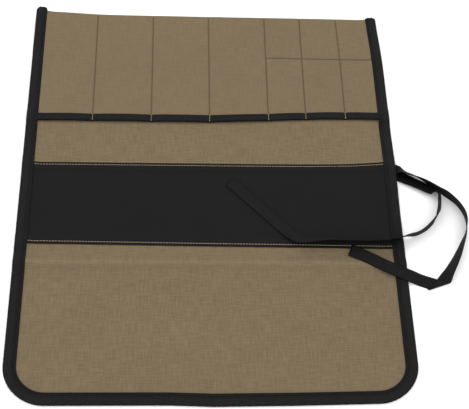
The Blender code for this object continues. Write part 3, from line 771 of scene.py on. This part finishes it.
def bindingGrid():
    # the folded tape's profile carried round the outline, over whatever layers are in it there
    x, y, inX, inY, rounding = outline().T
    half = (bindingSlot(x, y) + roll["tape"] + 0.02 * mm) / 2
    across, up = bindingProfile(half)
    leaf = roll["bindingLeaf"]
    drawn = (rounding * leaf)[:, None]
    distance = roll["tape"] / 2 + drawn + across * (leaf - 2 * drawn) / leaf
    px = x[:, None] + inX[:, None] * distance
    py = y[:, None] + inY[:, None] * distance
    z = restHeight(px, py) + roll["tape"] / 2 + half[:, None] + up + rounding[:, None] * roll["tailRise"]
    grid = np.stack((px, py, z), axis=-1)
    along = np.concatenate(([0.0], np.cumsum(np.hypot(np.diff(x), np.diff(y)))))
    steps = np.linalg.norm(np.diff(grid, axis=1), axis=2)
    over = np.cumsum(np.concatenate((np.zeros((len(x), 1)), steps), axis=1), axis=1)
    inner = leaf - roll["tape"] / 2 - across
    # painted shade at the stitching groove and the inner edge, and a darker strip inside the stitching
    groove = bell(bindingShape["grooveWidth"], inner - bindingShape["stitchInset"])
    shade = bindingShape["grooveShade"] * groove
    shade = shade + bindingShape["insideShade"] * (1 - smoothStep(2.8 * mm, 4.2 * mm, inner))
    shade = shade + bindingShape["innerEdgeShade"] * hump(1.2 * mm, inner)
    return grid, np.stack((over, np.broadcast_to(along[:, None], over.shape)), axis=-1), shade


grid, uv, shade = bindingGrid()
mesh = gridMesh("edgeBinding", outOfSquare(grid), uv)
paintAttribute(mesh, "paintedShading", shade)
binding = addPiece("edgeBinding", mesh, bindingTape)
thicken(binding, roll["tape"])
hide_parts("edge_binding")
print("binding folded round")


# routes of the two ties in mm from the point where they leave the side: x outward, y to the fold, the
# lean of the tape from flat in degrees, and the height in mm of what the tape lies on there
longTieIn = (
    (-13, 7.6, 0, 1.0), (-5, 4.9, 0, 1.0), (2, 1.9, 0, 1.0),
    (4, 0.9, -30, 0.6), (6, -0.2, -44, 0), (9, -1.9, -49, 0), (12, -3.3, -50, 0), (16, -4.9, -52, 0),
    (24, -9.2, -62, 0), (32, -15.2, -73, 0), (40, -21.9, -80, 0), (48.5, -28, -85, 0),
    (57, -36.5, -80, 0), (62, -44.5, -80, 0), (64.7, -52.5, -81, 0), (65.2, -60, -80, 0),
    (63.8, -67.5, -78, 0), (60, -77.6, -95, 0), (54.4, -90, -108, 0), (48.6, -101.5, -120, 0),
    (41, -114, -135, 0.6), (35.5, -122, -158, 1.1), (31.3, -127.8, -180, 1.1),
)
longTieOut = (
    (31.3, -127.8, 0, 0), (19.5, -124.5, 0, 0), (10, -121.2, 0, 0), (0, -117.8, 0, 0),
    (-11.5, -113, 0, 0), (-22.5, -107, 0, 0), (-33.5, -100.8, 0, 0), (-44.5, -95.2, 0, 0),
    (-54.1, -90.6, 0, 0),
)
shortTie = (
    (-13, 3.9, 0, 0), (-5, 0.1, 0, 0), (4, -4.2, 0, 0), (9, -7.6, -9, 0), (16, -11.6, -15, 0),
    (24, -15.9, -17, 0), (31, -19.8, -18, 0), (36.4, -22.4, -20, 0),
    (39.4, -25.4, -56, 0), (40.6, -29.6, -84, 0), (40.6, -35, -88, 0),
    (39.4, -42, -92, 0), (37.2, -50.5, -96, 0), (32.5, -58.3, -86, 0),
    (25.8, -65.6, -88, 0), (18.8, -71, -94, 0), (11.5, -74.6, -100, 0), (3, -77.3, -108, 0),
    (-6, -80, -114, 0), (-17, -81.6, -117, 0), (-35.5, -82.6, -118, 0), (-55, -82.4, -119, 0),
    (-75, -81, -125, 0), (-90, -81.4, -134, 0), (-100, -81, -147, 0), (-106.5, -78.2, -162, 0),
    (-112, -73.2, -174, 0), (-122, -63.2, -180, 0), (-140, -44.6, -180, 0),
    (-156, -28.2, -180, 0), (-170.6, -13.2, -180, 0),
)
tieShape = {
    "thickness": 0.8 * mm,
    "step": 1.5 * mm,         # between cross-sections
    "clearance": 0.15 * mm,   # air between a tie and the roll, and inside its fold
    "overFloor": 0.05 * mm,
    "bridge": 0.4,            # slope at which a tape comes down from a step
    "settle": 4 * mm,         # length over which it rounds a step
    "onRollLong": 0.25,       # share of the last stretch after which it lies on the roll
    "onRollShort": 0.38,
}


def topOfRoll(x, y):
    # top of whatever part of the near half of the roll is there, or the floor beside it
    inside = edgeDistance(x, y)
    top = backHeight(x, y) + roll["canvas"] / 2
    inBand = (y < bandTopY(x) + 0.2 * mm) & (y > bandBottomY(x) - 0.2 * mm)
    top = np.where(inBand, bandHeight(x, y) + roll["tape"] / 2, top)
    bound = restHeight(x, y) + 2 * roll["tape"] + bindingSlot(x, y) + bindingShape["crown"]
    top = np.where(inside < roll["bindingLeaf"] + 0.2 * mm, bound, top)
    return np.where(inside > -0.3 * mm, top + tieShape["clearance"], 0.0)


def smoothRoute(points, step):
    # places from a Catmull-Rom curve through the points, lean and height straight between them
    perSpan = 24
    points = np.array(points, float)
    padded = np.vstack((2 * points[0] - points[1], points, 2 * points[-1] - points[-2]))
    a, b, c, d = (padded[k:len(padded) - 3 + k, None] for k in range(4))
    t = np.linspace(0, 1, perSpan, endpoint=False)[None, :, None]
    fine = 0.5 * (2 * b + (c - a) * t + (2 * a - 5 * b + 4 * c - d) * t**2 + (3 * b - a - 3 * c + d) * t**3)
    fine = np.vstack((fine.reshape(-1, points.shape[1]), points[-1:]))
    along = np.concatenate(([0], np.cumsum(np.hypot(*np.diff(fine[:, :2], axis=0).T))))
    even = np.linspace(0, along[-1], max(int(round(along[-1] * mm / step)), 2) + 1)
    places = [np.interp(even, along, column) for column in fine.T[:2]]
    turns = [np.interp(even, along[::perSpan], column) for column in points.T[2:]]
    return np.stack(places + turns, axis=-1), even * mm


def laidHeight(needed, along):
    # the tape bridges from each step at a slope and rounds the corners: a running maximum, then a mean
    distance = np.abs(along[:, None] - along[None, :])
    bridged = np.max(needed[None, :] - tieShape["bridge"] * distance, axis=1)
    near = distance <= tieShape["settle"]
    widened = np.max(np.where(near, bridged[None, :], -np.inf), axis=1)
    return np.sum(np.where(near, widened[None, :], 0), axis=1) / near.sum(axis=1)


def tieSections(route, skewStart, skewEnd, onRollAfter):
    # centres of a flat tape and the vectors across it: turned by the lean, slanted at the skewed ends
    stations, along = smoothRoute(route, tieShape["step"])
    x = halfWidth + stations[:, 0] * mm
    y = tieY + stations[:, 1] * mm
    lean = np.radians(stations[:, 2])
    heading = np.stack((np.gradient(x), np.gradient(y)), axis=-1)
    heading /= np.linalg.norm(heading, axis=1)[:, None]
    skew = skewStart * np.clip(1 - along / ties["width"], 0, 1)
    skew = skew + skewEnd * np.clip(1 - (along[-1] - along) / ties["width"], 0, 1)
    left = np.stack((-heading[:, 1], heading[:, 0]), axis=-1)
    flat = np.cos(lean)[:, None] * left + skew[:, None] * heading
    across = ties["width"] * np.column_stack((flat, np.sin(lean)))
    onRoll = along > onRollAfter * along[-1]
    share = np.linspace(-0.5, 0.5, 9)[:, None]
    px, py = x + share * across[:, 0], y + share * across[:, 1]
    under = np.where(onRoll, topOfRoll(px, py), stations[:, 3] * mm + tieShape["overFloor"])
    needed = np.max(under - share * across[:, 2], axis=0)
    halfRise = np.abs(across[:, 2]) / 2
    z = laidHeight(needed - halfRise, along) + halfRise + tieShape["thickness"] / 2 * np.abs(np.cos(lean))
    return np.stack((x, y, z), axis=-1), across, heading


def foldedTie(routeIn, routeOut):
    # up to a flat diagonal fold and back under itself: a half turn about the line between both headings
    start = np.subtract(routeIn[-1][:2], routeIn[-2][:2])
    end = np.subtract(routeOut[1][:2], routeOut[0][:2])
    headingIn, headingOut = start / np.linalg.norm(start), end / np.linalg.norm(end)
    slope = 1 / math.tan(math.acos(float(np.dot(headingIn, headingOut))) / 2)
    centresIn, acrossIn, headings = tieSections(routeIn, 0, slope, 2)
    centresOut, acrossOut, _ = tieSections(routeOut, slope, 0, tieShape["onRollLong"])
    axis = headingIn + headingOut
    axis /= np.linalg.norm(axis)
    alongAxis = float(np.dot(headings[-1], axis))
    away = headings[-1] - alongAxis * axis
    awayShare = np.linalg.norm(away)
    away /= awayShare
    radius = (tieShape["thickness"] + tieShape["clearance"]) / 2
    angle = np.radians(np.linspace(0, 180, 9))[:, None]
    flat = radius * np.sin(angle) * away + alongAxis * radius * angle / awayShare * axis
    bend = centresIn[-1] + np.hstack((flat, -radius * (1 - np.cos(angle))))
    bendAcross = np.tile(np.append(axis, 0.0) * ties["width"] / awayShare, (len(bend), 1))
    fade = np.clip(1 - np.arange(len(centresOut)) / 8, 0, 1)[:, None]
    centresOut = centresOut + (bend[-1] - centresOut[0]) * fade
    centres = np.vstack((centresIn[:-1], bend, centresOut[1:]))
    return centres, np.vstack((acrossIn[:-1], bendAcross, acrossOut[1:]))


def tieGrid(centres, across):
    # rows along the tape, columns across it; the selvedges are close pairs of columns
    share = np.array([-0.5, -0.47, -0.35, -0.17, 0, 0.17, 0.35, 0.47, 0.5])
    grid = centres[:, None] + share[:, None] * across[:, None]
    along = np.concatenate(([0.0], np.cumsum(np.linalg.norm(np.diff(centres, axis=0), axis=1))))
    u = np.broadcast_to(share * ties["width"], grid.shape[:2])
    return grid, np.stack((u, np.broadcast_to(along[:, None], grid.shape[:2])), axis=-1), along[-1]


def addTie(name, node, centres, across, shadedLength):
    # painted shade: its first stretch is darker, and so are its selvedges and its end
    grid, uv, length = tieGrid(centres, across)
    mesh = gridMesh(name, grid, uv)
    first = 1 - smoothStep(shadedLength, shadedLength + 10 * mm, uv[..., 1])
    selvedge = smoothStep(0.4 * ties["width"], 0.5 * ties["width"], np.abs(uv[..., 0]))
    edges = np.maximum(selvedge, smoothStep(length - 2.5 * mm, length, uv[..., 1]))
    paintAttribute(mesh, "paintedShading", 0.75 * first + 0.65 * edges * (1 - first))
    piece = addPiece(name, mesh, tieTape)
    thicken(piece, tieShape["thickness"])
    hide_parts(node)
    return length


longCentres, longAcross = foldedTie(longTieIn, longTieOut)
shortCentres, shortAcross, _ = tieSections(shortTie, 0, 0, tieShape["onRollShort"])
longLength = addTie("longTie", "tie_long", longCentres, longAcross, 60 * mm)
shortLength = addTie("shortTie", "tie_short", shortCentres, shortAcross, 45 * mm)
print("ties laid, mm:", round(longLength / mm), round(shortLength / mm))

# sewing: each stitch is a short bent rod of thread that comes up from the cloth and goes back in
stitching = {
    "length": 2.9 * mm,       # from needle hole to needle hole
    "shown": 0.86,            # share of that which shows
    "sink": 0.12 * mm,        # how far its middle is sunk into the cloth at both ends
    "rings": 7,
    "sides": 6,
    "pocket": (0.55 * mm, 0.16 * mm),    # width and rise of the thread in each kind of seam
    "mouth": (0.6 * mm, 0.25 * mm),
    "band": (0.62 * mm, 0.28 * mm),
    "binding": (0.5 * mm, 0.2 * mm),
}


def stitchLine(path, width, rise):
    # path holds points on the cloth's surface. Along every stitch the thread's middle is at
    # rise * sin(pi t)^0.6 over the surface, less a sink, and its section is a circle
    along = np.concatenate(([0.0], np.cumsum(np.linalg.norm(np.diff(path, axis=0), axis=1))))
    count = max(int(round(along[-1] / stitching["length"])), 1)
    pitch = along[-1] / count
    t = np.linspace(0, 1, stitching["rings"])
    places = (np.arange(count)[:, None] + 0.5 + (t - 0.5) * stitching["shown"]) * pitch
    centre = np.stack([np.interp(places, along, path[:, k]) for k in range(3)], axis=-1)
    up = np.array((0.0, 0.0, 1.0))
    lift = rise * np.sin(math.pi * t) ** 0.6 - stitching["sink"]
    centre = centre + lift[:, None] * up
    forward = np.gradient(centre, axis=1)
    forward /= np.linalg.norm(forward, axis=-1, keepdims=True)
    side = np.cross(forward, up)
    side /= np.linalg.norm(side, axis=-1, keepdims=True)
    over = np.cross(side, forward)
    thin = (width / 2 * np.sqrt(np.clip(1 - (2 * t - 1) ** 6, 0.02, 1)))[:, None, None]
    angle = np.linspace(0, 2 * math.pi, stitching["sides"], endpoint=False)[:, None]
    ring = np.cos(angle) * side[:, :, None] + np.sin(angle) * over[:, :, None]
    points = centre[:, :, None] + thin * ring
    u = np.broadcast_to(places[:, :, None], points.shape[:3])
    v = np.broadcast_to(angle[:, 0] / (2 * math.pi), points.shape[:3])
    return points, np.stack((u, v), axis=-1)


def threadMesh(name, lines):
    # all the stitches of one kind of seam in one mesh: rings joined by quads, with a cap on both ends
    points = outOfSquare(np.concatenate([line[0] for line in lines]))
    uv = np.concatenate([line[1] for line in lines])
    count, rings, sides = points.shape[:3]
    index = np.arange(count * rings * sides).reshape(count, rings, sides)
    turned = np.roll(index, -1, axis=2)
    quads = np.stack((index[:, :-1], index[:, 1:], turned[:, 1:], turned[:, :-1]), axis=-1).reshape(-1, 4)
    caps = np.concatenate((index[:, 0], index[:, -1, ::-1]))
    mesh = bpy.data.meshes.new(name)
    mesh.from_pydata(points.reshape(-1, 3), [], quads.tolist() + caps.tolist())
    return mapCloth(mesh, uv)


def surfaceLine(x, y, height):
    x, y = np.broadcast_arrays(np.asarray(x, float), np.asarray(y, float))
    return np.stack((x, y, height(x, y)), axis=-1)


def pocketTop(x, y):
    return pocketHeight(x, y) + roll["canvas"] / 2


def mouthTapeTop(x, y):
    cloth = pocketHeight(x, np.maximum(y, mouthY(x) + clothInset))
    return cloth + roll["canvas"] / 2 + roll["gap"] + roll["tape"]


def bandTop(x, y):
    return bandHeight(x, y) + roll["tape"] / 2


def inwardPath(distance, keep):
    # a line at an even distance inside the outline, as x, y and the height of the binding's top there
    x, y, inX, inY, _ = outline().T
    use = keep(x, y)
    px, py = (x + inX * distance)[use], (y + inY * distance)[use]
    z = restHeight(px, py) + 2 * roll["tape"] + bindingSlot(x[use], y[use]) - bindingShape["stitchPull"]
    return np.stack((px, py, z), axis=-1)


def addThread(name, kind, paths, thread):
    # the stitches along all the lines of one kind of seam, as one piece
    width, rise = stitching[kind]
    addPiece(name, threadMesh(name, [stitchLine(path, width, rise) for path in paths]), thread)


seamEnds = roll["mouthLeaf"] + 0.5 * mm
innerSeams = seams[1:-1]
pocketPaths = [surfaceLine(x, spread(foldY - 1.5 * mm, mouthY(x) + seamEnds, 2 * mm), pocketTop)
               for x in innerSeams]
stopX = spread(seams[roll["widePockets"]], seams[-1], 2 * mm)
pocketPaths.append(surfaceLine(stopX, stopY, pocketTop))
mouthPaths = [surfaceLine(x, spread(mouthY(x) + seamEnds, mouthY(x) + 0.4 * mm, 1 * mm), mouthTapeTop)
              for x in innerSeams]
bandX = spread(-halfWidth + roll["bindingLeaf"], halfWidth - roll["bindingLeaf"], 2 * mm)
bandPaths = [surfaceLine(bandX, edge(bandX) + inset, bandTop)
             for edge, inset in ((bandTopY, -bandStitch), (bandBottomY, bandStitch))]
bindingPath = inwardPath(roll["bindingLeaf"] - bindingShape["stitchInset"], lambda x, y: y < foldY + 1 * mm)
mouthEdgeX = spread(seams[0], seams[-1], 2 * mm)
mouthEdgeY = mouthY(mouthEdgeX) + roll["mouthLeaf"] - lay["mouthStitchInset"]
mouthEdge = surfaceLine(mouthEdgeX, mouthEdgeY, lambda x, y: mouthTapeTop(x, y) - 0.2 * mm)
addThread("pocketSeamThread", "pocket", pocketPaths, brownThread)
addThread("mouthSeamThread", "mouth", mouthPaths, tanThread)
addThread("bandTopStitching", "band", bandPaths, tanThread)
addThread("bindingStitching", "binding", (bindingPath, mouthEdge), blackThread)
print("seams sewn")

# a plain pale table and soft light from above and behind
studio = {
    "floor": (0.97, 0.97, 0.97),
    "floorReach": 6,             # metres from its middle to each side
    "floorDrop": 0.1 * mm,       # how far it lies below the roll
    "sky": 1.3,
    "keyPower": 3.2,
    "keySize": 1.1,
    "keyPlace": (-0.45, 0.85, 1.25),
}


def addStudio(facts):
    floorMesh = bpy.data.meshes.new("table")
    reach, low = facts["floorReach"], -facts["floorDrop"]
    corners = [(-reach, -reach, low), (reach, -reach, low), (reach, reach, low), (-reach, reach, low)]
    floorMesh.from_pydata(corners, [], [(0, 1, 2, 3)])
    floor = bpy.data.objects.new("table", floorMesh)
    bpy.context.scene.collection.objects.link(floor)
    surface = bpy.data.materials.new("paleTable")
    surface.use_nodes = True
    shader = surface.node_tree.nodes["Principled BSDF"]
    shader.inputs["Base Color"].default_value = (*facts["floor"], 1.0)
    shader.inputs["Roughness"].default_value = 0.9
    shader.inputs["Specular IOR Level"].default_value = 0.1
    floorMesh.materials.append(surface)
    world = bpy.data.worlds.new("softRoom")
    world.use_nodes = True
    world.node_tree.nodes["Background"].inputs["Color"].default_value = (1.0, 1.0, 1.0, 1.0)
    world.node_tree.nodes["Background"].inputs["Strength"].default_value = facts["sky"]
    bpy.context.scene.world = world
    lamp = bpy.data.lights.new("keyLight", "AREA")
    lamp.energy, lamp.size = facts["keyPower"], facts["keySize"]
    key = bpy.data.objects.new("keyLight", lamp)
    key.location = facts["keyPlace"]
    key.rotation_euler = Vector(facts["keyPlace"]).to_track_quat("Z", "Y").to_euler()
    bpy.context.scene.collection.objects.link(key)
    bpy.context.scene.view_settings.view_transform = "Standard"


addStudio(studio)
print("table and light set")

bpy.context.view_layer.update()
